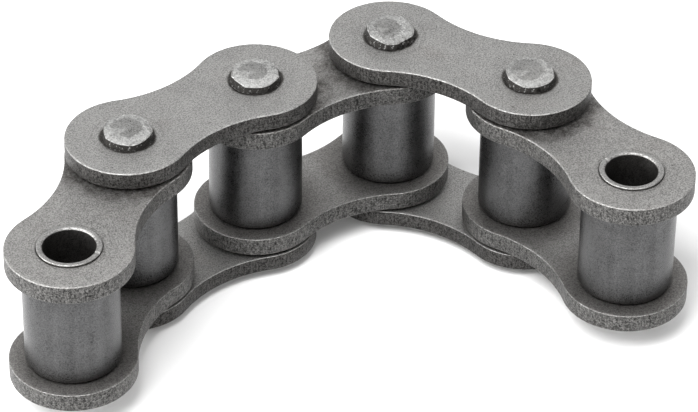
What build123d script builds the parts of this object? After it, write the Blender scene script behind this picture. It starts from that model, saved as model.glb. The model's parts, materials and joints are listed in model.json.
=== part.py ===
"""Short strand of a simplex roller conveyor chain, one inch pitch, standing on its pin ends.

Five links in a row, three roller (inner) links joined by two pin (outer) links, so six joints.
Joints and links are numbered from the left end. Every joint axis is parallel to Z, the pin ends
stand on Z = 0, and X runs along the first pin link. The origin is the bottom centre of the strand.
All lengths are millimetres and all angles are degrees.
"""
from build123d import *
import os
from math import cos, hypot, radians, sin

# Driving dimensions: links
pitch = 25.4
inner_plate_height = 20.5
inner_plate_waist = 15.1
inner_plate_thickness = 3.2
outer_plate_height = 20.3
outer_plate_waist = 14.9
outer_plate_thickness = 2.9
plate_edge_chamfer = 0.25
bush_hole_chamfer = 0.2

# Driving dimensions: joints
inner_width = 18.3
roller_diameter = 15.4
roller_edge_chamfer = 0.6
bush_diameter = 10.4
bush_mouth_chamfer = 0.4
bush_standout = 0.3
pin_diameter = 8.28
rivet_spread = 0.15
rivet_height = 1.65
rivet_bevel = 0.45

# Clearances: the two running fits are radial, the other two are at each end
pin_clearance = 0.05
roller_clearance = 0.05
roller_end_clearance = 0.25
plate_clearance = 0.3

# How far the strand turns at joints 2 to 5, seen from above, as it stands
bends = (-33.1, -8.4, -57.7, -24.6)

# Heights above the mid-plane of the strand
roller_end = inner_width / 2 - roller_end_clearance
inner_plate_face = inner_width / 2
bush_end = inner_plate_face + inner_plate_thickness + bush_standout
outer_plate_face = bush_end + plate_clearance
rivet_seat = outer_plate_face + outer_plate_thickness
pin_end = rivet_seat + rivet_height

# Radii of the pieces that nest round one joint axis
pin_radius = pin_diameter / 2
bush_bore_radius = pin_radius + pin_clearance
bush_radius = bush_diameter / 2
roller_bore_radius = bush_radius + roller_clearance
roller_radius = roller_diameter / 2

# Headings of the links: the second link, the first pin link, lies along X
headings = [-bends[0]]
for bend in bends:
    headings.append(headings[-1] + bend)
link_count = len(headings)

# Joint axes from left to right, then moved so that the strand is centred on the origin
walk = [Vector(0, 0)]
for heading in headings:
    walk.append(walk[-1] + Vector(cos(radians(heading)), sin(radians(heading))) * pitch)
end_reach = inner_plate_height / 2
joint_reach = max(inner_plate_height, outer_plate_height) / 2
reaches = [end_reach] + [joint_reach] * (link_count - 1) + [end_reach]
left = min(point.X - reach for point, reach in zip(walk, reaches))
right = max(point.X + reach for point, reach in zip(walk, reaches))
front = min(point.Y - reach for point, reach in zip(walk, reaches))
back = max(point.Y + reach for point, reach in zip(walk, reaches))
centre = Vector((left + right) / 2, (front + back) / 2)
joints = [point - centre for point in walk]


def link_plane(link, side, height):
    """Plane centred on a link, X along it, at a height above (side 1) or below (side -1) mid-plane.

    Its normal points away from mid-plane.
    """
    middle = (joints[link] + joints[link + 1]) / 2
    heading = radians(headings[link])
    origin = (middle.X, middle.Y, pin_end + side * height)
    return Plane(origin=origin, x_dir=(cos(heading), sin(heading), 0), z_dir=(0, 0, side))


def joint_plane(joint, height):
    """Level plane centred on a joint axis, at a height above mid-plane."""
    return Plane(origin=(joints[joint].X, joints[joint].Y, pin_end + height))


def save(piece, name):
    """Label a finished piece and write it to its own file."""
    piece.label = name
    export_step(piece, f"parts/{name}.step")


def link_plate(plane, height, waist, thickness, hole_radius, hole_chamfer):
    """Blanked figure-eight plate: two round lobes, tangent waist arcs, two holes a pitch apart.

    It grows from the plane, and only the holes' outer rims are chamfered.
    """
    lobe = height / 2
    half_waist = waist / 2
    half_pitch = pitch / 2
    waist_arc = (half_pitch**2 + half_waist**2 - lobe**2) / (2 * (lobe - half_waist))
    to_waist_centre = hypot(half_pitch, half_waist + waist_arc)
    tangent_x = half_pitch - lobe * half_pitch / to_waist_centre
    tangent_y = lobe * (half_waist + waist_arc) / to_waist_centre
    with BuildPart() as plate:
        with BuildSketch(plane):
            with BuildLine():
                ThreePointArc((-tangent_x, tangent_y), (0, half_waist), (tangent_x, tangent_y))
                ThreePointArc((tangent_x, tangent_y), (half_pitch + lobe, 0), (tangent_x, -tangent_y))
                ThreePointArc((tangent_x, -tangent_y), (0, -half_waist), (-tangent_x, -tangent_y))
                ThreePointArc((-tangent_x, -tangent_y), (-half_pitch - lobe, 0), (-tangent_x, tangent_y))
            make_face()
            with GridLocations(pitch, 0, 2, 1):
                Circle(hole_radius, mode=Mode.SUBTRACT)
        extrude(amount=thickness)
        flats = plate.faces().filter_by(Axis.Z).sort_by(Axis(plane.origin, plane.z_dir))
        outlines = [edge for flat in flats for edge in flat.outer_wire().edges()]
        hole_rims = [edge for wire in flats[-1].inner_wires() for edge in wire.edges()]
        chamfer(outlines, plate_edge_chamfer)
        if hole_chamfer:
            chamfer(hole_rims, hole_chamfer)
    return plate.part


def bush(joint):
    """Hardened bush, pressed into both inner plates, with a chamfered mouth at each end."""
    with BuildPart() as sleeve:
        with BuildSketch(joint_plane(joint, -bush_end)):
            Circle(bush_radius)
            Circle(bush_bore_radius, mode=Mode.SUBTRACT)
        extrude(amount=2 * bush_end)
        mouths = sleeve.edges().filter_by(GeomType.CIRCLE).group_by(SortBy.RADIUS)[0]
        chamfer(mouths, bush_mouth_chamfer)
    return sleeve.part


def roller(joint):
    """Roller, free to turn on its bush, with broken edges."""
    with BuildPart() as barrel:
        with BuildSketch(joint_plane(joint, -roller_end)):
            Circle(roller_radius)
            Circle(roller_bore_radius, mode=Mode.SUBTRACT)
        extrude(amount=2 * roller_end)
        rims = barrel.edges().filter_by(GeomType.CIRCLE).group_by(SortBy.RADIUS)[-1]
        chamfer(rims, roller_edge_chamfer)
    return barrel.part


def pin(joint):
    """Pin, pressed into both outer plates, each end riveted over to a bevelled head on the plate."""
    head_radius = pin_radius + rivet_spread
    middle = joint_plane(joint, 0)
    with BuildPart() as rivet:
        with BuildSketch(Plane(origin=middle.origin, x_dir=middle.x_dir, z_dir=-middle.y_dir)):
            with BuildLine():
                Polyline(
                    (0, 0),
                    (pin_radius, 0),
                    (pin_radius, rivet_seat),
                    (head_radius, rivet_seat),
                    (head_radius, pin_end - rivet_bevel),
                    (head_radius - rivet_bevel, pin_end),
                    (0, pin_end),
                    close=True,
                )
            make_face()
            mirror(about=Plane.XZ)
        revolve(axis=Axis(middle.origin, middle.z_dir))
    return rivet.part


os.makedirs("parts", exist_ok=True)

for link in range(link_count):
    if link % 2 == 0:
        name = f"roller_link_{link // 2 + 1}"
        size = (inner_plate_height, inner_plate_waist, inner_plate_thickness, bush_radius, bush_hole_chamfer)
        inside = inner_plate_face
    else:
        name = f"pin_link_{link // 2 + 1}"
        size = (outer_plate_height, outer_plate_waist, outer_plate_thickness, pin_radius, 0)
        inside = outer_plate_face
    save(link_plate(link_plane(link, 1, inside), *size), f"{name}_upper_plate")
    save(link_plate(link_plane(link, -1, inside), *size), f"{name}_lower_plate")

for joint in range(link_count + 1):
    save(bush(joint), f"bush_{joint + 1}")
    save(roller(joint), f"roller_{joint + 1}")

for joint in range(1, link_count):
    save(pin(joint), f"pin_{joint + 1}")
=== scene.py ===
"""Looks of a short strand of simplex roller chain: tumbled steel plates, bushes, rollers and riveted pins.

Every piece replaces the CAD node it is named after and rides on that node's body. Lengths are metres.
"""
import json
import math

import bpy
from mathutils import Matrix, Vector


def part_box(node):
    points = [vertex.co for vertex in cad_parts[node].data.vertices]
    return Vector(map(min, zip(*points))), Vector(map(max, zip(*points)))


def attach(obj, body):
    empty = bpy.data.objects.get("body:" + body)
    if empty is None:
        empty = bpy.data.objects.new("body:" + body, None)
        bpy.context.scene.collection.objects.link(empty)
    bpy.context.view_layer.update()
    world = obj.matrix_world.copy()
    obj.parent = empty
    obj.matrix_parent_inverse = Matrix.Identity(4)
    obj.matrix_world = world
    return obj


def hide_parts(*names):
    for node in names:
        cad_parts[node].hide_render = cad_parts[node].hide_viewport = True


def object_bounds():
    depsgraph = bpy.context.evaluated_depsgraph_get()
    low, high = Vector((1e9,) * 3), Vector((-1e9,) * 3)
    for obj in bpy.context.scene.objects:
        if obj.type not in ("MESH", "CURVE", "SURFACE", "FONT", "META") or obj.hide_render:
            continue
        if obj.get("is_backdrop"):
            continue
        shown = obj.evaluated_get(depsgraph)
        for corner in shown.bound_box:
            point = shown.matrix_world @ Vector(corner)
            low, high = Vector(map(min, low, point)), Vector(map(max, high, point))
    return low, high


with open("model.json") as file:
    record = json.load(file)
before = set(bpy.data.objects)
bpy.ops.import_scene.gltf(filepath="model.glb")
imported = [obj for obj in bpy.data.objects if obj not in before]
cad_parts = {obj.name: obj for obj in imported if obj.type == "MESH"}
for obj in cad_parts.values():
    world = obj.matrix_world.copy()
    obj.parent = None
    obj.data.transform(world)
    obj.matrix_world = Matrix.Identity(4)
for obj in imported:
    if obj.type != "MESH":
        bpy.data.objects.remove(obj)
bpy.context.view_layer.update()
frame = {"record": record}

# ---------------------------------------------------------------- sizes, from the frame

MM = 0.001
JOINT_COUNT = 6
LINK_NAMES = ("roller_link_1", "pin_link_1", "roller_link_2", "pin_link_2", "roller_link_3")


def box_size(node):
    """Width, depth and height of a CAD node."""
    low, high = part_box(node)
    return high - low


def box_middle(node):
    """Centre of a CAD node's box."""
    low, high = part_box(node)
    return (low + high) / 2


JOINTS = [box_middle(f"roller_{number + 1}") for number in range(JOINT_COUNT)]
MID_HEIGHT = JOINTS[0].z
PITCH = (JOINTS[2] - JOINTS[1]).length
BORE_RADIUS = frame["record"]["mounts"][0]["dims"]["r_mm"] * MM

# A hair less than the CAD's curved sizes, which its flat facets cut slightly
SKIN = 0.01 * MM
OUTER_PLATE_SIZE = box_size("pin_link_1_upper_plate")
INNER_PLATE_SIZE = box_size("roller_link_1_upper_plate")
LEFT_HEADING = JOINTS[1] - JOINTS[0]
OUTER_LOBE = OUTER_PLATE_SIZE.y / 2 - SKIN
INNER_LOBE = (INNER_PLATE_SIZE.x - abs(LEFT_HEADING.x)) / 2 - SKIN
OUTER_WAIST = 7.45 * MM
INNER_WAIST = 7.55 * MM
ROLLER_SIZE = box_size("roller_1")
BUSH_SIZE = box_size("bush_1")
PIN_SIZE = box_size("pin_2")

# ---------------------------------------------------------------- node building


class Field:
    """An output socket that can stand in a formula."""

    def __init__(self, tree, socket):
        self.tree = tree
        self.socket = socket

    def maths(self, operation, *others):
        node = add(self.tree, "ShaderNodeMath", operation=operation)
        for place, item in enumerate((self, *others)):
            feed(self.tree, item, node.inputs[place])
        return Field(self.tree, node.outputs[0])

    def __add__(self, other):
        return self.maths("ADD", other)

    def __sub__(self, other):
        return self.maths("SUBTRACT", other)

    def __rsub__(self, other):
        return constant(self.tree, other).maths("SUBTRACT", self)

    def __mul__(self, other):
        return self.maths("MULTIPLY", other)

    def __truediv__(self, other):
        return self.maths("DIVIDE", other)

    def __rtruediv__(self, other):
        return constant(self.tree, other).maths("DIVIDE", self)

    def __pow__(self, other):
        return self.maths("POWER", other)

    def __neg__(self):
        return self.maths("MULTIPLY", -1.0)

    __radd__ = __add__
    __rmul__ = __mul__


def feed(tree, item, socket):
    """Links a field or socket to an input, or sets the input to a plain value."""
    if isinstance(item, Field):
        item = item.socket
    if isinstance(item, bpy.types.NodeSocket):
        tree.links.new(item, socket)
    else:
        socket.default_value = item


def add(tree, kind, feeds=(), **settings):
    """Adds a node, sets its properties, then feeds its inputs by name or place."""
    node = tree.nodes.new(kind)
    for name, value in settings.items():
        setattr(node, name, value)
    for place, item in dict(feeds).items():
        feed(tree, item, node.inputs[place])
    return node


def constant(tree, value):
    """A plain number as a field."""
    node = tree.nodes.new("ShaderNodeValue")
    node.outputs[0].default_value = value
    return Field(tree, node.outputs[0])


def field(node, place=0):
    """A node's output as a field."""
    return Field(node.id_data, node.outputs[place])


def vector(tree, x=0.0, y=0.0, z=0.0):
    """Three numbers or fields as one vector."""
    return field(add(tree, "ShaderNodeCombineXYZ", {0: x, 1: y, 2: z}))


def parts_of(tree, item):
    """X, Y and Z of a vector as fields."""
    node = add(tree, "ShaderNodeSeparateXYZ", {0: item})
    return field(node, 0), field(node, 1), field(node, 2)


def either(tree, test, when_true, when_false):
    """One of two values by a field that is 1 or 0."""
    return when_false + (when_true - when_false) * test


def noise_field(tree, place, scale, detail=2.0, roughness=0.5):
    """Noise from 0 to 1 as a field."""
    node = add(
        tree,
        "ShaderNodeTexNoise",
        {"Vector": place, "Scale": scale, "Detail": detail, "Roughness": roughness},
    )
    return field(node)


def spread(tree, value, low, high):
    """Takes low..high to 0..1, eased and clamped."""
    node = add(
        tree,
        "ShaderNodeMapRange",
        {"Value": value, "From Min": low, "From Max": high},
        interpolation_type="SMOOTHSTEP",
    )
    return field(node)


def blended(tree, share, colour_a, colour_b, blend_type="MIX"):
    """Two colours mixed by a share."""
    node = add(tree, "ShaderNodeMix", data_type="RGBA", blend_type=blend_type)
    feed(tree, share, node.inputs["Factor"])
    feed(tree, colour_a, node.inputs[6])
    feed(tree, colour_b, node.inputs[7])
    return node.outputs[2]


def start_tree(name, kind, inputs, outputs):
    """A node tree with named inputs and outputs. Returns it, its inputs as fields and its output node."""
    tree = bpy.data.node_groups.new(name, kind)
    for label, socket_type in inputs.items():
        tree.interface.new_socket(label, in_out="INPUT", socket_type=socket_type)
    for label, socket_type in outputs.items():
        tree.interface.new_socket(label, in_out="OUTPUT", socket_type=socket_type)
    source = tree.nodes.new("NodeGroupInput")
    given = {label: Field(tree, source.outputs[label]) for label in inputs}
    return tree, given, tree.nodes.new("NodeGroupOutput")


# ---------------------------------------------------------------- shapes by geometry nodes

NUMBER = "NodeSocketFloat"
COUNT = "NodeSocketInt"
PLACE = "NodeSocketVector"
MATERIAL = "NodeSocketMaterial"
GEOMETRY = "NodeSocketGeometry"
WELD = 0.5e-6
FILLET_STEPS = 4
# Width of a plate's flat that belongs to its edge and to its hole walls
RIM = 1.0 * MM
CHAMFER_ROUNDING = 0.03 * MM
HOLE_ROUNDING = 0.1 * MM
# A pin's head: rings across its top, the band under the top's edge and the step at its foot
CROWN_RINGS = 14
CROWN_BAND = 0.3 * MM
CROWN_FADE = 0.2 * MM
FOOT_HEIGHT = 0.15 * MM
FOOT_ROUNDING = 0.1 * MM


def polyline(tree, corners, closed=False):
    """Curve through corners given as (across, height, rounding), each corner rounded off."""
    count = len(corners)
    line = add(tree, "GeometryNodeMeshLine", {"Count": count})
    index = add(tree, "GeometryNodeInputIndex")
    spots = add(tree, "GeometryNodeIndexSwitch", {"Index": index.outputs[0]}, data_type="VECTOR")
    rounds = add(tree, "GeometryNodeIndexSwitch", {"Index": index.outputs[0]}, data_type="FLOAT")
    while len(spots.index_switch_items) < count:
        spots.index_switch_items.new()
        rounds.index_switch_items.new()
    for place, (across, height, rounding) in enumerate(corners):
        feed(tree, vector(tree, across, height), spots.inputs[place + 1])
        feed(tree, rounding, rounds.inputs[place + 1])
    moved = add(tree, "GeometryNodeSetPosition", {"Geometry": line.outputs[0], "Position": spots.outputs[0]})
    curve = add(tree, "GeometryNodeMeshToCurve", {"Mesh": moved.outputs[0]})
    looped = add(tree, "GeometryNodeSetSplineCyclic", {"Geometry": curve.outputs[0], "Cyclic": closed})
    feeds = {
        "Curve": looped.outputs[0],
        "Radius": rounds.outputs[0],
        "Count": FILLET_STEPS,
        "Limit Radius": True,
    }
    return add(tree, "GeometryNodeFilletCurve", feeds, mode="POLY").outputs[0]


def swept(tree, profile, steps, place_at, closed=False):
    """Surface that carries a profile round a closed path.

    place_at(turn, across, height) gives the spot for a share of the whole turn. The attribute
    profile_place keeps where on the profile each point came from.
    """
    size = add(tree, "GeometryNodeAttributeDomainSize", {"Geometry": profile}, component="CURVE")
    points = field(size, "Point Count")
    rows = points + 1.0 if closed else points
    grid = add(tree, "GeometryNodeMeshGrid", {"Vertices X": steps + 1.0, "Vertices Y": rows})
    index = field(add(tree, "GeometryNodeInputIndex"))
    column = (index / rows).maths("FLOOR")
    row = index - column * rows
    position = add(tree, "GeometryNodeInputPosition")
    sample = add(
        tree,
        "GeometryNodeSampleIndex",
        {"Geometry": profile, "Value": position.outputs[0], "Index": row.maths("FLOORED_MODULO", points)},
        data_type="FLOAT_VECTOR",
    )
    across, height, _ = parts_of(tree, sample.outputs[0])
    noted = add(
        tree,
        "GeometryNodeStoreNamedAttribute",
        {"Geometry": grid.outputs[0], "Name": "profile_place", "Value": sample.outputs[0]},
        data_type="FLOAT_VECTOR",
    )
    spot = vector(tree, *place_at(column / steps, across, height))
    return add(tree, "GeometryNodeSetPosition", {"Geometry": noted.outputs[0], "Position": spot}).outputs[0]


def round_an_axis(turn, across, height):
    """Place on a turned piece: across is the radius."""
    angle = turn * math.tau
    return across * angle.maths("COSINE"), across * angle.maths("SINE"), height


def figure_eight(given):
    """Place on a link plate's outline, and outside it where across is above 0.

    Each quarter is a round lobe that runs into a hollow waist arc.
    """
    half_pitch = given["Pitch"] * 0.5
    lobe = given["Lobe Radius"]
    waist = given["Waist Half Height"]
    waist_arc = (half_pitch * half_pitch + waist * waist - lobe * lobe) / ((lobe - waist) * 2.0)
    waist_centre = waist + waist_arc
    lobe_turn = math.pi - waist_centre.maths("ARCTAN2", half_pitch)
    waist_turn = half_pitch.maths("ARCTAN2", waist_centre)
    lobe_share = lobe_turn * lobe / (lobe_turn * lobe + waist_turn * waist_arc)

    def place_at(turn, across, height):
        quarter = (turn * 4.0).maths("PINGPONG", 1.0)
        on_lobe = quarter.maths("LESS_THAN", lobe_share)
        lobe_angle = quarter / lobe_share * lobe_turn
        waist_angle = (1.0 - quarter) / (1.0 - lobe_share) * waist_turn
        lobe_reach = lobe + across
        waist_reach = waist_arc - across
        x = either(
            across.tree,
            on_lobe,
            half_pitch + lobe_reach * lobe_angle.maths("COSINE"),
            waist_reach * waist_angle.maths("SINE"),
        )
        y = either(
            across.tree,
            on_lobe,
            lobe_reach * lobe_angle.maths("SINE"),
            waist_centre - waist_reach * waist_angle.maths("COSINE"),
        )
        around = turn * math.tau
        return x * around.maths("COSINE").maths("SIGN"), y * around.maths("SINE").maths("SIGN"), height

    return place_at


def ring(tree, steps, place_at, across):
    """Closed curve along a path, level, for the edge of a flat."""
    circle = add(tree, "GeometryNodeCurvePrimitiveCircle", {"Resolution": steps})
    turn = field(add(tree, "GeometryNodeInputIndex")) / steps
    spot = vector(tree, *place_at(turn, across, constant(tree, 0.0)))
    return add(tree, "GeometryNodeSetPosition", {"Geometry": circle.outputs[0], "Position": spot}).outputs[0]


def joined(tree, *geometries):
    """Several geometries as one."""
    node = tree.nodes.new("GeometryNodeJoinGeometry")
    for geometry in geometries:
        tree.links.new(geometry, node.inputs[0])
    return node.outputs[0]


def at_both_joints(tree, geometry, pitch):
    """A copy of a geometry at each end of a link."""
    ends = add(
        tree,
        "GeometryNodeMeshLine",
        {"Count": 2, "Start Location": vector(tree, pitch * -0.5), "Offset": vector(tree, pitch)},
    )
    copies = add(tree, "GeometryNodeInstanceOnPoints", {"Points": ends.outputs[0], "Instance": geometry})
    return add(tree, "GeometryNodeRealizeInstances", {"Geometry": copies.outputs[0]}).outputs[0]


def finished(tree, given, surfaces, finish_and_light, output):
    """Welds the surfaces, roughens them inwards, puts the piece in its place and gives it its steel.

    The shapes keep two attributes for the steel: own_place, a spot on the piece before it is placed, and
    a vector of masks that each kind of piece fills in its own way, which the steel reads for its finish
    and for painted shade and a painted highlight.
    """
    welded = add(tree, "GeometryNodeMergeByDistance", {"Geometry": joined(tree, *surfaces), "Distance": WELD})
    spot = add(tree, "GeometryNodeInputPosition")
    noise = add(
        tree,
        "ShaderNodeTexNoise",
        {"Vector": spot.outputs[0], "W": given["Seed"], "Scale": given["Unevenness Scale"], "Detail": 3.0},
        noise_dimensions="4D",
    )
    normal = add(tree, "GeometryNodeInputNormal")
    inwards = add(
        tree,
        "ShaderNodeVectorMath",
        {0: normal.outputs[0], "Scale": -(field(noise) * given["Unevenness"])},
        operation="SCALE",
    )
    uneven = add(
        tree,
        "GeometryNodeSetPosition",
        {"Geometry": welded.outputs[0], "Offset": inwards.outputs[0]},
    )
    local = add(
        tree,
        "GeometryNodeStoreNamedAttribute",
        {"Geometry": uneven.outputs[0], "Name": "own_place", "Value": spot.outputs[0]},
        data_type="FLOAT_VECTOR",
    )
    marked = add(
        tree,
        "GeometryNodeStoreNamedAttribute",
        {"Geometry": local.outputs[0], "Name": "finish_and_light", "Value": finish_and_light},
        data_type="FLOAT_VECTOR",
    )
    smooth = add(tree, "GeometryNodeSetShadeSmooth", {"Geometry": marked.outputs[0]})
    placed = add(
        tree,
        "GeometryNodeTransform",
        {"Geometry": smooth.outputs[0], "Translation": given["Place"], "Rotation": given["Turn"]},
    )
    real = add(tree, "GeometryNodeRealizeInstances", {"Geometry": placed.outputs[0]})
    steel = add(tree, "GeometryNodeSetMaterial", {"Geometry": real.outputs[0], "Material": given["Steel"]})
    feed(tree, steel.outputs[0], output.inputs[0])


COMMON_INPUTS = {
    "Steps Round": COUNT,
    "Unevenness": NUMBER,
    "Unevenness Scale": NUMBER,
    "Seed": NUMBER,
    "Place": PLACE,
    "Turn": PLACE,
    "Steel": MATERIAL,
}


def link_plate_tree():
    """Blanked link plate on Z = 0, rolled over at its upper edge, with two holes chamfered above."""
    inputs = {
        "Pitch": NUMBER,
        "Lobe Radius": NUMBER,
        "Waist Half Height": NUMBER,
        "Thickness": NUMBER,
        "Hole Radius": NUMBER,
        "Hole Chamfer": NUMBER,
        "Roll Over": NUMBER,
        "Burr Edge": NUMBER,
        "Covered Start": NUMBER,
        "Covered End": NUMBER,
        **COMMON_INPUTS,
    }
    tree, given, output = start_tree("link_plate", "GeometryNodeTree", inputs, {"Geometry": GEOMETRY})
    steps = given["Steps Round"]
    top = given["Thickness"]
    hole = given["Hole Radius"]
    mouth = hole + given["Hole Chamfer"]
    zero = constant(tree, 0.0)
    outline = figure_eight(given)
    edge_profile = polyline(
        tree,
        [
            (-RIM, zero, 0.0),
            (zero, zero, given["Burr Edge"]),
            (zero, top, given["Roll Over"]),
            (-RIM, top, 0.0),
        ],
    )
    hole_profile = polyline(
        tree,
        [
            (mouth + RIM, top, 0.0),
            (mouth, top, CHAMFER_ROUNDING),
            (hole, top - given["Hole Chamfer"], CHAMFER_ROUNDING),
            (hole, zero, HOLE_ROUNDING),
            (hole + RIM, zero, 0.0),
        ],
    )
    edge = swept(tree, edge_profile, steps, outline)
    hole_walls = at_both_joints(tree, swept(tree, hole_profile, steps, round_an_axis), given["Pitch"])
    rim_ring = ring(tree, steps, outline, constant(tree, -RIM))
    flats = []
    for height, hole_edge in ((top, mouth + RIM), (zero, hole + RIM)):
        hole_rings = at_both_joints(tree, ring(tree, steps, round_an_axis, hole_edge), given["Pitch"])
        outlines = joined(tree, rim_ring, hole_rings)
        filled = add(tree, "GeometryNodeFillCurve", {"Curve": outlines}, mode="NGONS")
        raised = add(
            tree,
            "GeometryNodeTransform",
            {"Geometry": filled.outputs[0], "Translation": vector(tree, z=height)},
        )
        flats.append(raised.outputs[0])
    flats[1] = add(tree, "GeometryNodeFlipFaces", {"Mesh": flats[1]}).outputs[0]
    covered = vector(tree, given["Covered Start"], given["Covered End"])
    finished(tree, given, [edge, hole_walls, *flats], covered, output)
    return tree


def tube_tree():
    """Turned tube about Z, centred on the origin: a roller, or a bush with the notch of its seam."""
    inputs = {
        "Outer Radius": NUMBER,
        "Bore Radius": NUMBER,
        "Length": NUMBER,
        "Outer Edge": NUMBER,
        "Mouth Edge": NUMBER,
        "Seam Angle": NUMBER,
        "Seam Width": NUMBER,
        "Seam Depth": NUMBER,
        **COMMON_INPUTS,
    }
    tree, given, output = start_tree("tube", "GeometryNodeTree", inputs, {"Geometry": GEOMETRY})
    half = given["Length"] * 0.5
    corners = [
        (given["Bore Radius"], -half, given["Mouth Edge"]),
        (given["Outer Radius"], -half, given["Outer Edge"]),
        (given["Outer Radius"], half, given["Outer Edge"]),
        (given["Bore Radius"], half, given["Mouth Edge"]),
    ]
    profile = polyline(tree, corners, closed=True)

    def notched(turn, across, height):
        x, y, z = round_an_axis(turn, across, height)
        apart = (turn * math.tau - given["Seam Angle"]).maths("SINE") * across / given["Seam Width"]
        facing = (turn * math.tau - given["Seam Angle"]).maths("COSINE").maths("GREATER_THAN", 0.0)
        notch = given["Seam Depth"] * facing * (-(apart * apart)).maths("EXPONENT")
        return x, y, z - notch * z / half

    surface = swept(tree, profile, given["Steps Round"], notched, closed=True)
    finished(tree, given, [surface], vector(tree), output)
    return tree


def pin_tree():
    """Pin about Z with a riveted head at each end: a tapered mushroom, hammered flat on one side.

    Its struck face is sunk a little, off centre, and droops towards the flat side. Its attribute of masks
    holds the struck disc in X and the whole top face in Y; from Y the steel paints a highlight on the top's
    edge and paints the head's side darker, partly as shade.
    """
    inputs = {
        "Shank Radius": NUMBER,
        "Head Radius": NUMBER,
        "Crown Radius": NUMBER,
        "Crown Edge": NUMBER,
        "Seat Height": NUMBER,
        "Half Length": NUMBER,
        "Flat Angle": NUMBER,
        "Flat Depth": NUMBER,
        "Facets": NUMBER,
        "Facet Depth": NUMBER,
        "Dish Radius": NUMBER,
        "Dish Depth": NUMBER,
        "Dish Shift": NUMBER,
        "Rim Wave": NUMBER,
        "Droop": NUMBER,
        **COMMON_INPUTS,
    }
    tree, given, output = start_tree("riveted_pin", "GeometryNodeTree", inputs, {"Geometry": GEOMETRY})
    end = given["Half Length"]
    seat = given["Seat Height"]
    head = given["Head Radius"]
    shank = given["Shank Radius"]
    crown = given["Crown Radius"]
    zero = constant(tree, 0.0)
    upper = [(crown * math.sqrt(step / CROWN_RINGS), end, 0.0) for step in range(CROWN_RINGS)]
    upper += [
        (crown, end, given["Crown Edge"]),
        (crown + (head - crown) * 0.2, end - CROWN_BAND, 0.0),
        (head, seat + FOOT_HEIGHT, FOOT_ROUNDING),
        (head, seat, 0.0),
        (shank, seat, 0.0),
    ]
    corners = [(across, -height, rounding) for across, height, rounding in upper]
    corners += reversed(upper)
    profile = polyline(tree, corners)

    def dish(x, y):
        shift_x = x + given["Dish Shift"] * given["Flat Angle"].maths("COSINE")
        shift_y = y + given["Dish Shift"] * given["Flat Angle"].maths("SINE")
        from_middle = (shift_x * shift_x + shift_y * shift_y).maths("SQRT")
        return 1.0 - spread(tree, from_middle, given["Dish Radius"] * 0.88, given["Dish Radius"] * 1.08)

    def droop(x, y):
        along = x * given["Flat Angle"].maths("COSINE") + y * given["Flat Angle"].maths("SINE")
        return spread(tree, along, crown * -0.4, crown * 1.1) * given["Droop"]

    def hammered(turn, across, height):
        side = height.maths("SIGN")
        on_head = height.maths("ABSOLUTE").maths("GREATER_THAN", seat + 0.02 * MM)
        rise = ((height.maths("ABSOLUTE") - seat) / (end - seat)).maths("MAXIMUM", 0.0)
        angle = turn * math.tau - given["Flat Angle"]
        wave = add(
            tree,
            "ShaderNodeTexNoise",
            {
                "Vector": vector(tree, angle.maths("COSINE"), angle.maths("SINE"), side),
                "W": given["Seed"],
                "Scale": 1.6,
                "Detail": 2.0,
            },
            noise_dimensions="4D",
        )
        facet = math.tau / given["Facets"]
        in_facet = (angle.maths("FLOORED_MODULO", facet) - facet * 0.5).maths("COSINE")
        middle = (facet * 0.5).maths("COSINE")
        squared = 1.0 - (1.0 - middle / in_facet) / (1.0 - middle) * given["Facet Depth"] / head
        rim_wave = 1.0 - field(wave) * given["Rim Wave"] * rise / head
        radius = across * (1.0 + (squared * rim_wave - 1.0) * on_head)
        limit = (head - given["Flat Depth"] * rise) / angle.maths("COSINE").maths("MAXIMUM", 0.2)
        facing = angle.maths("COSINE").maths("GREATER_THAN", 0.2)
        eased = radius.maths("SMOOTH_MIN", limit, 0.25 * MM)
        cut = either(tree, facing * on_head * rise.maths("GREATER_THAN", 0.01), eased, radius)
        x, y, _ = round_an_axis(turn, cut.maths("MINIMUM", head), height)
        sunk = dish(x, y) * given["Dish Depth"] * rise.maths("GREATER_THAN", 0.9)
        slump = field(wave) * given["Rim Wave"] * (cut / head) ** 4.0 * rise
        return x, y, height - side * (sunk + slump + droop(x, y) * rise)

    x, y, _ = parts_of(tree, add(tree, "GeometryNodeInputPosition").outputs[0])
    from_profile = add(
        tree,
        "GeometryNodeInputNamedAttribute",
        {"Name": "profile_place"},
        data_type="FLOAT_VECTOR",
    )
    _, height, _ = parts_of(tree, from_profile.outputs["Attribute"])
    top = 1.0 - spread(tree, end - height.maths("ABSOLUTE"), 0.0, CROWN_FADE)
    surface = swept(tree, profile, given["Steps Round"], hammered)
    finished(tree, given, [surface], vector(tree, dish(x, y) * top, top), output)
    return tree


# ---------------------------------------------------------------- steel

# Noise scales, in features per metre
PATCH_SCALE = 110.0
CHIP_SCALE = 2200.0
SCORE_SCALE = 3200.0
SCORE_LENGTH_SCALE = 700.0
BROKEN_SCALE = 3000.0
WANDER_SCALE = 330.0
RING_SCALE = 4200.0
SPECK_SCALE = 1500.0
BAND_SCALE = 420.0
BAND_LENGTH_SCALE = 30.0
SMEAR_SCALE = 240.0
SMEAR_HEIGHT_SCALE = 800.0
DENT_SCALE = 1300.0
CLOUD_SCALE = 420.0
GLINT_SCALE = 2600.0

# Where the marks round a joint begin and stop fading: past the hole, or past the covering plate's lobe.
# The shade round the joints is painted shade; the film and the seat are partly painted shade.
RING_FADE = (0.8 * MM, 3.6 * MM)
SHADE_FADE = (2.0 * MM, 9.0 * MM)
SEAT_FADE = (0.02 * MM, 0.5 * MM)
FILM_AND_SHADE_FADE = (-0.2 * MM, 3.6 * MM)
# How far the film and the seat wander from their circles, and the height that counts as the inner face
FILM_AND_SHADE_WANDER = 9.0 * MM
SEAT_WANDER = 1.2 * MM
INNER_FACE = 0.1 * MM
# The darkened end of a roller, grime and painted shade under the plates, measured from its end
GRIME_AND_SHADE_FADE = (1.6 * MM, 0.2 * MM)


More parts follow.
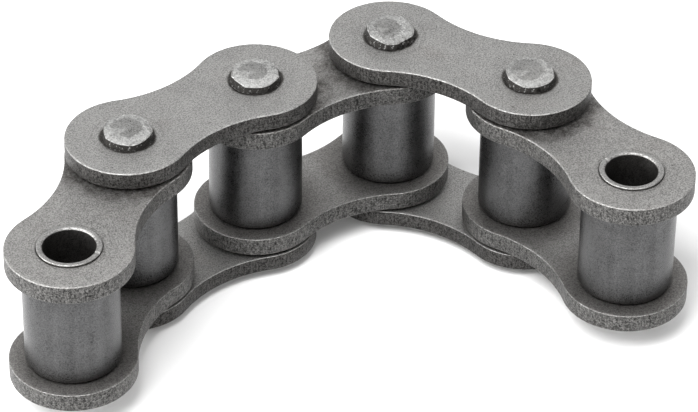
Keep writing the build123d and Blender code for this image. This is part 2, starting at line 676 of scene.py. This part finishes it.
def grain_group():
    """Tumbled grain as a tone round 1 and a height, from speckle, pits and mottling, and oily patches."""
    tree, given, output = start_tree(
        "tumbled_grain",
        "ShaderNodeTree",
        {"Grain Size": NUMBER, "Speckle": NUMBER, "Mottle": NUMBER},
        {"Tone": NUMBER, "Height": NUMBER, "Patches": NUMBER},
    )
    place = add(tree, "ShaderNodeTexCoord").outputs["Object"]
    fine = spread(tree, noise_field(tree, place, 1.0 / given["Grain Size"], 3.0, 0.8), 0.36, 0.64)
    broad = spread(tree, noise_field(tree, place, 0.05 / given["Grain Size"], 4.0, 0.6), 0.3, 0.7)
    pits = spread(tree, noise_field(tree, place, 0.35 / given["Grain Size"], 3.0, 0.6), 0.64, 0.74)
    tone = 1.0 + (fine - 0.5) * given["Speckle"] + (broad - 0.5) * given["Mottle"]
    feed(tree, tone - pits * given["Speckle"] * 0.6, output.inputs["Tone"])
    feed(tree, fine * 0.8 + broad * 0.5 - pits * 0.8, output.inputs["Height"])
    patches = spread(tree, noise_field(tree, place, PATCH_SCALE, 5.0, 0.65), 0.5, 0.78)
    feed(tree, patches, output.inputs["Patches"])
    return tree


def edge_group():
    """Masks from the way a surface faces: rubbed edges, the chips that break them, and upright walls."""
    tree, given, output = start_tree(
        "rubbed_edges",
        "ShaderNodeTree",
        {"Breaks": NUMBER},
        {"Edge": NUMBER, "Chips": NUMBER, "Wall": NUMBER},
    )
    coordinates = add(tree, "ShaderNodeTexCoord")
    _, _, up = parts_of(tree, coordinates.outputs["Normal"])
    steep = up.maths("ABSOLUTE")
    band = spread(tree, steep, 0.3, 0.7) * (1.0 - spread(tree, steep, 0.88, 0.985))
    chips = spread(tree, noise_field(tree, coordinates.outputs["Object"], CHIP_SCALE, 4.0, 0.75), 0.43, 0.57)
    feed(tree, band * (1.0 - chips * given["Breaks"]), output.inputs["Edge"])
    feed(tree, band * chips, output.inputs["Chips"])
    feed(tree, 1.0 - spread(tree, steep, 0.15, 0.55), output.inputs["Wall"])
    return tree


def blanked_wall_group():
    """Blanked wall of a plate: upright scoring and a sandy broken grain, as a tone and a height."""
    tree, given, output = start_tree(
        "blanked_wall",
        "ShaderNodeTree",
        {"Strength": NUMBER},
        {"Tone": NUMBER, "Height": NUMBER},
    )
    place = add(tree, "ShaderNodeTexCoord").outputs["Object"]
    x, y, z = parts_of(tree, place)
    upright = vector(tree, x * SCORE_SCALE, y * SCORE_SCALE, z * SCORE_LENGTH_SCALE)
    scores = noise_field(tree, upright, 1.0, 2.0)
    broken = noise_field(tree, place, BROKEN_SCALE, 4.0, 0.8)
    rough = spread(tree, scores, 0.36, 0.64) * 0.3 + spread(tree, broken, 0.41, 0.59) * 0.7
    feed(tree, 1.0 + (rough - 0.5) * given["Strength"], output.inputs["Tone"])
    feed(tree, rough, output.inputs["Height"])
    return tree


def joint_marks_group():
    """Marks of the joints on a plate: rubbed rings, a dark film, and a dark seat at the hole.

    The film lies in specks where the next link covers the plate, partly dirt and partly painted shade
    along the covering plate, and evenly round the joints on the inner face, where it is painted shade
    round the rollers. The seat is painted shade in the crevice at the hole, partly soot.
    """
    tree, given, output = start_tree(
        "joint_marks",
        "ShaderNodeTree",
        {"Half Pitch": NUMBER, "Seat Radius": NUMBER, "Film Radius": NUMBER},
        {"Rings": NUMBER, "Film And Shade": NUMBER, "Seat": NUMBER},
    )
    own = add(tree, "ShaderNodeAttribute", attribute_name="own_place").outputs["Vector"]
    x, y, z = parts_of(tree, own)
    start, end, _ = parts_of(tree, add(tree, "ShaderNodeAttribute", attribute_name="finish_and_light").outputs["Vector"])
    covered = either(tree, x.maths("GREATER_THAN", 0.0), end, start)
    inside = z.maths("LESS_THAN", INNER_FACE)
    along = x.maths("ABSOLUTE") - given["Half Pitch"]
    distance = (along * along + y * y).maths("SQRT")
    wander = noise_field(tree, own, WANDER_SCALE, 4.0, 0.6)
    grooves = noise_field(tree, vector(tree, distance * RING_SCALE, wander * 3.0), 1.0, 1.0)
    beyond = distance - given["Seat Radius"]
    near = 1.0 - spread(tree, beyond, *RING_FADE)
    rings = spread(tree, grooves, 0.5, 0.68) * near * spread(tree, wander, 0.4, 0.6)
    feed(tree, rings, output.inputs["Rings"])
    # Film where the next link covers the plate: partly dirt, partly painted shade along the covering plate
    reach = distance + (wander - 0.5) * FILM_AND_SHADE_WANDER
    specks = spread(tree, noise_field(tree, own, SPECK_SCALE, 4.0, 0.75), 0.4, 0.56) * 0.5 + 0.5
    covered_film_and_shade = 1.0 - spread(tree, reach - given["Film Radius"], *FILM_AND_SHADE_FADE)
    # Painted shade round the rollers on the inner face
    shade = 1.0 - spread(tree, beyond, *SHADE_FADE)
    dirt_and_shade = covered_film_and_shade * covered * (1.0 - inside) * specks
    feed(tree, dirt_and_shade.maths("MAXIMUM", shade * inside * 0.8), output.inputs["Film And Shade"])
    # Dark seat round the hole: painted shade in the crevice, partly soot
    frayed = beyond + (wander - 0.5) * SEAT_WANDER
    feed(tree, 1.0 - spread(tree, frayed, *SEAT_FADE), output.inputs["Seat"])
    return tree


def steel_material(name, face, wall_and_shade, rubbed, edge_wear, grain, speckle, mottle, roughness, bump, extra=None):
    """Satin steel with a tumbled grain, darker upright walls that are partly painted shade, and rubbed edges.

    extra may change the colour, roughness, height and rubbed edge before they reach the shader.
    """
    material = bpy.data.materials.new(name)
    material.use_nodes = True
    tree = material.node_tree
    tree.nodes.clear()
    tumbled = add(tree, "ShaderNodeGroup", node_tree=GRAIN)
    feed(tree, grain, tumbled.inputs["Grain Size"])
    feed(tree, speckle, tumbled.inputs["Speckle"])
    feed(tree, mottle, tumbled.inputs["Mottle"])
    edges = add(tree, "ShaderNodeGroup", node_tree=EDGES)
    feed(tree, 0.9, edges.inputs["Breaks"])
    edge = field(edges, "Edge") * edge_wear
    chips = field(edges, "Chips") * edge_wear
    wall_mask = field(edges, "Wall")
    tone = field(tumbled, "Tone")
    height = field(tumbled, "Height")
    # Upright walls take the darker wall colour: partly the blanked finish, partly painted shade, as in a
    # bush's bore
    bare = blended(tree, wall_mask, face, wall_and_shade)
    colour = blended(tree, 1.0, bare, vector(tree, tone, tone, tone), "MULTIPLY")
    patches = field(tumbled, "Patches")
    colour = blended(tree, patches * 0.3, colour, OIL, "MULTIPLY")
    rough = roughness + (tone - 1.0) * 0.15 + patches * 0.05
    if extra:
        colour, rough, height, edge = extra(tree, colour, rough, height, edge, wall_mask)
    colour = blended(tree, edge, colour, rubbed)
    colour = blended(tree, chips, colour, STAIN_AND_SHADE, "MULTIPLY")
    rough = rough + edge * 0.1 + chips * 0.3
    shader = add(tree, "ShaderNodeBsdfPrincipled")
    shader.inputs["Metallic"].default_value = 1.0
    feed(tree, colour, shader.inputs["Base Color"])
    feed(tree, rough, shader.inputs["Roughness"])
    relief = add(tree, "ShaderNodeBump", {"Strength": 1.0, "Distance": bump, "Height": height - chips * 2.0})
    feed(tree, relief.outputs[0], shader.inputs["Normal"])
    out = tree.nodes.new("ShaderNodeOutputMaterial")
    feed(tree, shader.outputs[0], out.inputs["Surface"])
    return material


def plate_finish(seat_radius, film_and_shade_strength, seat_soot_and_shade_strength):
    """Blanked walls and joint marks for a link plate; the film and the seat are partly painted shade."""

    def extra(tree, colour, rough, height, edge, wall_mask):
        blanked = add(tree, "ShaderNodeGroup", node_tree=BLANKED_WALL)
        feed(tree, 1.6, blanked.inputs["Strength"])
        marks = add(tree, "ShaderNodeGroup", node_tree=JOINT_MARKS)
        feed(tree, PITCH / 2, marks.inputs["Half Pitch"])
        feed(tree, seat_radius, marks.inputs["Seat Radius"])
        feed(tree, OUTER_LOBE, marks.inputs["Film Radius"])
        score_tone = field(blanked, "Tone")
        scored = vector(tree, score_tone, score_tone, score_tone)
        colour = blended(tree, wall_mask, colour, blended(tree, 1.0, colour, scored, "MULTIPLY"))
        on_face = 1.0 - wall_mask
        # Film and shade: partly dirt, partly painted shade along the covering plate and round the rollers
        colour = blended(tree, field(marks, "Film And Shade") * on_face * film_and_shade_strength, colour, STAIN_AND_SHADE, "MULTIPLY")
        colour = blended(tree, field(marks, "Rings") * on_face * 0.35, colour, STAIN_AND_SHADE, "MULTIPLY")
        # Dark seat: painted shade in the crevice round the head or bush, partly soot
        colour = blended(tree, field(marks, "Seat") * on_face * seat_soot_and_shade_strength, colour, SOOT_AND_SHADE, "MULTIPLY")
        height = height - field(marks, "Rings") * on_face * 0.8 + field(blanked, "Height") * wall_mask * 1.6
        return colour, rough + wall_mask * 0.05, height, edge

    return extra


def roller_finish(tree, colour, rough, height, edge, _):
    """Faint upright bands and smears on a roller, and grime with painted shade towards its ends, under the
    plates.
    """
    own = add(tree, "ShaderNodeAttribute", attribute_name="own_place").outputs["Vector"]
    x, y, z = parts_of(tree, own)
    drawn = vector(tree, x * BAND_SCALE, y * BAND_SCALE, z * BAND_LENGTH_SCALE)
    bands = noise_field(tree, drawn, 1.0, 3.0, 0.6)
    wiped = vector(tree, x * SMEAR_SCALE, y * SMEAR_SCALE, z * SMEAR_HEIGHT_SCALE)
    smears = noise_field(tree, wiped, 1.0, 4.0, 0.7)
    band_tone = 0.86 + spread(tree, bands, 0.35, 0.7) * 0.2 + spread(tree, smears, 0.5, 0.72) * 0.12
    colour = blended(tree, 1.0, colour, vector(tree, band_tone, band_tone, band_tone), "MULTIPLY")
    # Painted shade and grime towards the roller's ends, under the plates
    ragged = z.maths("ABSOLUTE") + (smears - 0.5) * GRIME_AND_SHADE_FADE[0]
    grime_and_shade = spread(tree, ragged, ROLLER_SIZE.z / 2 - GRIME_AND_SHADE_FADE[0], ROLLER_SIZE.z / 2 - GRIME_AND_SHADE_FADE[1])
    colour = blended(tree, grime_and_shade * 0.6, colour, STAIN_AND_SHADE, "MULTIPLY")
    return colour, rough + (smears - 0.5) * 0.15, height + bands * 0.5, edge


def pin_finish(tree, colour, rough, height, edge, _):
    """Riveted head: a grey struck disc, a bright coarse rim round it, a painted highlight on the crown's
    edge, and a dark rough wall below that is partly painted shade, with painted glints.
    """
    finish_and_light = add(tree, "ShaderNodeAttribute", attribute_name="finish_and_light").outputs["Vector"]
    struck, top, _ = parts_of(tree, finish_and_light)
    own = add(tree, "ShaderNodeAttribute", attribute_name="own_place").outputs["Vector"]
    dents = noise_field(tree, own, DENT_SCALE, 4.0, 0.75)
    cloud = noise_field(tree, own, CLOUD_SCALE, 3.0, 0.6)
    smooth_disc = struck * spread(tree, cloud, 0.68, 0.44)
    flecks = spread(tree, dents, 0.44, 0.6) * (1.0 - smooth_disc * 0.8)
    holes = spread(tree, dents, 0.44, 0.34) * (1.0 - smooth_disc * 0.4)
    colour = blended(tree, smooth_disc * 0.2, colour, STAIN_AND_SHADE, "MULTIPLY")
    colour = blended(tree, flecks * 0.35, colour, FLECK_AND_GLINT_BRIGHT)
    colour = blended(tree, holes * 0.3, colour, STAIN_AND_SHADE, "MULTIPLY")
    # Painted highlight along the crown's edge
    painted_rim_highlight = 1.0 - (top * 2.0 - 1.0).maths("ABSOLUTE")
    # Painted glints on the head's dark side, which is partly painted shade
    glints = spread(tree, noise_field(tree, own, GLINT_SCALE, 3.0, 0.7), 0.58, 0.7)
    side = blended(tree, glints * 0.6, PIN_SIDE_AND_SHADE, FLECK_AND_GLINT_BRIGHT)
    colour = blended(tree, painted_rim_highlight * (1.0 - holes), blended(tree, top, side, colour), PAINTED_HIGHLIGHT)
    rough = rough - smooth_disc * 0.06 + (1.0 - top) * 0.1
    return colour, rough, height * (1.0 - smooth_disc * 0.5) - flecks, edge * top * 0.5


GRAIN = grain_group()
EDGES = edge_group()
BLANKED_WALL = blanked_wall_group()
JOINT_MARKS = joint_marks_group()

# Stains, which darken what is below them and partly serve as painted shade, then the pins' lights and
# darks: bright flecks and painted glints, a painted highlight for the crown's edge, and a dark side
# that is partly painted shade
OIL = (0.7, 0.65, 0.61, 1)
STAIN_AND_SHADE = (0.3, 0.285, 0.275, 1)
SOOT_AND_SHADE = (0.12, 0.11, 0.10, 1)
FLECK_AND_GLINT_BRIGHT = (0.66, 0.66, 0.65, 1)
PAINTED_HIGHLIGHT = (0.9, 0.9, 0.89, 1)
PIN_SIDE_AND_SHADE = (0.042, 0.04, 0.038, 1)
PLATE_GRAIN = dict(edge_wear=0.5, grain=0.24 * MM, speckle=0.8, mottle=0.1, roughness=0.42, bump=0.03 * MM)

# Plate walls are much darker than the faces: partly the blanked finish, partly painted shade
OUTER_STEEL = steel_material(
    "outer_plate_steel",
    face=(0.365, 0.361, 0.353, 1),
    wall_and_shade=(0.063, 0.061, 0.059, 1),
    rubbed=(0.548, 0.548, 0.539, 1),
    extra=plate_finish(PIN_SIZE.x / 2, 0.4, 0.95),
    **PLATE_GRAIN,
)
INNER_STEEL = steel_material(
    "inner_plate_steel",
    face=(0.349, 0.343, 0.334, 1),
    wall_and_shade=(0.104, 0.102, 0.099, 1),
    rubbed=(0.498, 0.498, 0.49, 1),
    extra=plate_finish(BUSH_SIZE.x / 2, 0.9, 0.3),
    **PLATE_GRAIN,
)
ROLLER_STEEL = steel_material(
    "roller_steel",
    face=(0.1, 0.1, 0.1, 1),
    wall_and_shade=(0.087, 0.087, 0.088, 1),
    rubbed=(0.183, 0.183, 0.183, 1),
    edge_wear=0.5,
    grain=0.22 * MM,
    speckle=0.7,
    mottle=0.25,
    roughness=0.32,
    bump=0.012 * MM,
    extra=roller_finish,
)
# The bush's dark wall colour paints shade into its bore
BUSH_STEEL = steel_material(
    "bush_steel",
    face=(0.365, 0.361, 0.353, 1),
    wall_and_shade=(0.1, 0.096, 0.092, 1),
    rubbed=(0.498, 0.498, 0.49, 1),
    edge_wear=0.6,
    grain=0.22 * MM,
    speckle=0.8,
    mottle=0.2,
    roughness=0.42,
    bump=0.012 * MM,
)
# The head's dark wall and side colours are partly painted shade
PIN_STEEL = steel_material(
    "pin_steel",
    face=(0.373, 0.372, 0.365, 1),
    wall_and_shade=(0.045, 0.043, 0.041, 1),
    rubbed=(0.548, 0.548, 0.539, 1),
    edge_wear=0.9,
    grain=0.26 * MM,
    speckle=0.6,
    mottle=0.4,
    roughness=0.38,
    bump=0.04 * MM,
    extra=pin_finish,
)

# ---------------------------------------------------------------- pieces


def socket_key(tree, label):
    """Identifier of a tree's named input."""
    return next(item.identifier for item in tree.interface.items_tree if item.name == label)


def make_piece(tree, node, body, values):
    """Runs a tree once and keeps the result as a plain mesh in place of a CAD node."""
    holder = bpy.data.objects.new(node + "_steel", bpy.data.meshes.new(node + "_steel"))
    bpy.context.scene.collection.objects.link(holder)
    modifier = holder.modifiers.new("shape", "NODES")
    modifier.node_group = tree
    for label, value in values.items():
        modifier[socket_key(tree, label)] = value
    shape = bpy.data.meshes.new_from_object(holder.evaluated_get(bpy.context.evaluated_depsgraph_get()))
    holder.modifiers.clear()
    holder.data = shape
    shape.name = node + "_steel"
    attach(holder, body)
    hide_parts(node)
    return holder


PLATE_TREE = link_plate_tree()
TUBE_TREE = tube_tree()
PIN_TREE = pin_tree()
BODY_OF = {node: body for body, nodes in frame["record"]["behaviour"]["bodies"].items() for node in nodes}

for link, link_name in enumerate(LINK_NAMES):
    across = JOINTS[link + 1] - JOINTS[link]
    centre = (JOINTS[link + 1] + JOINTS[link]) / 2
    heading = math.atan2(across.y, across.x)
    is_outer = link_name.startswith("pin")
    for side, side_name in ((1, "upper"), (-1, "lower")):
        node = f"{link_name}_{side_name}_plate"
        low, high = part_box(node)
        level = low.z if side > 0 else high.z
        values = {
            "Pitch": PITCH,
            "Lobe Radius": OUTER_LOBE if is_outer else INNER_LOBE,
            "Waist Half Height": OUTER_WAIST if is_outer else INNER_WAIST,
            "Thickness": high.z - low.z,
            "Hole Radius": BORE_RADIUS if is_outer else BUSH_SIZE.x / 2,
            "Hole Chamfer": 0.05 * MM if is_outer else 0.12 * MM,
            "Roll Over": 0.22 * MM,
            "Burr Edge": 0.15 * MM,
            "Covered Start": float(is_outer is False and link > 0),
            "Covered End": float(is_outer is False and link < len(LINK_NAMES) - 1),
            "Steps Round": 320,
            "Unevenness": 0.05 * MM,
            "Unevenness Scale": 700.0,
            "Seed": 3.1 * link + side,
            "Place": (centre.x, centre.y, level),
            "Turn": (0.0 if side > 0 else math.pi, 0.0, heading),
            "Steel": OUTER_STEEL if is_outer else INNER_STEEL,
        }
        make_piece(PLATE_TREE, node, BODY_OF[node], values)

SEAM_ANGLES = [math.radians(angle) for angle in (-61, 20, 200, 75, -30, 107)]
for number, joint in enumerate(JOINTS):
    place = (joint.x, joint.y, MID_HEIGHT)
    roller_values = {
        "Outer Radius": ROLLER_SIZE.x / 2 - SKIN,
        "Bore Radius": BUSH_SIZE.x / 2 + 0.05 * MM,
        "Length": ROLLER_SIZE.z,
        "Outer Edge": 0.5 * MM,
        "Mouth Edge": 0.2 * MM,
        "Seam Angle": 0.0,
        "Seam Width": 0.3 * MM,
        "Seam Depth": 0.0,
        "Steps Round": 160,
        "Unevenness": 0.02 * MM,
        "Unevenness Scale": 400.0,
        "Seed": 7.7 * number,
        "Place": place,
        "Turn": (0.0, 0.0, 0.0),
        "Steel": ROLLER_STEEL,
    }
    node = f"roller_{number + 1}"
    make_piece(TUBE_TREE, node, BODY_OF[node], roller_values)
    bush_values = dict(
        roller_values,
        **{
            "Outer Radius": BUSH_SIZE.x / 2 - SKIN,
            "Bore Radius": BORE_RADIUS,
            "Length": BUSH_SIZE.z,
            "Outer Edge": 0.2 * MM,
            "Mouth Edge": 0.4 * MM,
            "Seam Depth": 0.25 * MM,
            "Seam Width": 0.16 * MM,
            "Seam Angle": SEAM_ANGLES[number],
            "Steel": BUSH_STEEL,
        },
    )
    node = f"bush_{number + 1}"
    make_piece(TUBE_TREE, node, BODY_OF[node], bush_values)

# Each riveted head: the side it is hammered flat on (degrees, and mm cut off), its corners and how
# deep they are, the struck disc (radius, shift away from the flat side, depth), the rim's wave and
# the droop towards the flat side, all mm
PIN_HEADS = {
    2: dict(side=-112, flat=0.35, corners=5, cut=0.28, disc=2.5, shift=0.5, dish=0.05, wave=0.2, droop=0.5),
    3: dict(side=-100, flat=0.55, corners=7, cut=0.28, disc=2.3, shift=0.6, dish=0.06, wave=0.3, droop=0.5),
    4: dict(side=-84, flat=0.90, corners=7, cut=0.18, disc=2.2, shift=0.8, dish=0.06, wave=0.4, droop=0.7),
    5: dict(side=-100, flat=0.55, corners=8, cut=0.14, disc=2.7, shift=0.7, dish=0.10, wave=0.3, droop=0.6),
}
for number, head in PIN_HEADS.items():
    joint = JOINTS[number - 1]
    plate_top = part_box("pin_link_1_upper_plate")[1].z
    node = f"pin_{number}"
    values = {
        "Shank Radius": BORE_RADIUS - 0.05 * MM,
        "Head Radius": PIN_SIZE.x / 2 - SKIN,
        "Crown Radius": PIN_SIZE.x / 2 - 0.15 * MM,
        "Crown Edge": 0.16 * MM,
        "Seat Height": plate_top - MID_HEIGHT,
        "Half Length": PIN_SIZE.z / 2,
        "Flat Angle": math.radians(head["side"]),
        "Flat Depth": head["flat"] * MM,
        "Facets": float(head["corners"]),
        "Facet Depth": head["cut"] * MM,
        "Dish Radius": head["disc"] * MM,
        "Dish Shift": head["shift"] * MM,
        "Dish Depth": head["dish"] * MM,
        "Rim Wave": head["wave"] * MM,
        "Droop": head["droop"] * MM,
        "Steps Round": 200,
        "Unevenness": 0.08 * MM,
        "Unevenness Scale": 900.0,
        "Seed": 5.3 * number,
        "Place": (joint.x, joint.y, MID_HEIGHT),
        "Turn": (0.0, 0.0, 0.0),
        "Steel": PIN_STEEL,
    }
    make_piece(PIN_TREE, node, BODY_OF[node], values)

# ---------------------------------------------------------------- floor, light and camera


def floor_material():
    """Plain pale floor."""
    material = bpy.data.materials.new("pale_floor")
    material.use_nodes = True
    shader = material.node_tree.nodes["Principled BSDF"]
    shader.inputs["Base Color"].default_value = (0.9, 0.9, 0.9, 1)
    shader.inputs["Roughness"].default_value = 0.9
    shader.inputs["Specular IOR Level"].default_value = 0.1
    return material


def add_floor():
    """A wide floor that the pins stand on."""
    reach = 3.0
    mesh = bpy.data.meshes.new("floor")
    corners = [(-reach, -reach, 0), (reach, -reach, 0), (reach, reach, 0), (-reach, reach, 0)]
    mesh.from_pydata(corners, [], [(0, 1, 2, 3)])
    mesh.materials.append(floor_material())
    floor = bpy.data.objects.new("floor", mesh)
    bpy.context.scene.collection.objects.link(floor)
    floor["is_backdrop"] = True


def add_lamp(name, azimuth, elevation, distance, size, power):
    """A square soft lamp that looks at the strand."""
    data = bpy.data.lights.new(name, "AREA")
    data.shape = "SQUARE"
    data.size = size
    data.energy = power
    lamp = bpy.data.objects.new(name, data)
    back = direction(azimuth, elevation)
    lamp.rotation_mode = "QUATERNION"
    lamp.rotation_quaternion = back.to_track_quat("Z", "Y")
    lamp.location = Vector((0, 0, MID_HEIGHT)) + back * distance
    bpy.context.scene.collection.objects.link(lamp)


def direction(azimuth, elevation):
    """Unit vector towards a viewer: azimuth 0 stands at -Y, in degrees."""
    turn = math.radians(azimuth)
    rise = math.radians(elevation)
    return Vector((math.sin(turn) * math.cos(rise), -math.cos(turn) * math.cos(rise), math.sin(rise)))


def add_camera():
    """Long lens, looking down at the strand from its left front."""
    azimuth, elevation, roll = -38.94, 37.38, 0.77
    distance = 0.6304
    aim = Vector((5.25, 1.08, 22.91)) * MM
    data = bpy.data.cameras.new("camera")
    data.sensor_width = 36.0
    data.lens = 204.0
    data.clip_start = 0.01
    camera = bpy.data.objects.new("camera", data)
    back = direction(azimuth, elevation)
    level = back.to_track_quat("Z", "Y").to_matrix()
    camera.matrix_world = Matrix.Translation(aim + back * distance) @ (
        level @ Matrix.Rotation(math.radians(roll), 3, "Z")
    ).to_4x4()
    bpy.context.scene.collection.objects.link(camera)
    bpy.context.scene.camera = camera


def light_scene():
    """Even pale surroundings with soft lamps."""
    world = bpy.data.worlds.new("studio")
    world.use_nodes = True
    world.node_tree.nodes["Background"].inputs["Color"].default_value = (1, 1, 1, 1)
    world.node_tree.nodes["Background"].inputs["Strength"].default_value = 0.84
    bpy.context.scene.world = world
    add_lamp("key_lamp", azimuth=-70, elevation=60, distance=0.9, size=0.5, power=10.8)
    add_lamp("side_lamp", azimuth=-120, elevation=18, distance=1.0, size=0.5, power=9)


add_floor()
add_camera()
light_scene()
bpy.context.scene.view_settings.view_transform = "Standard"

low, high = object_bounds()
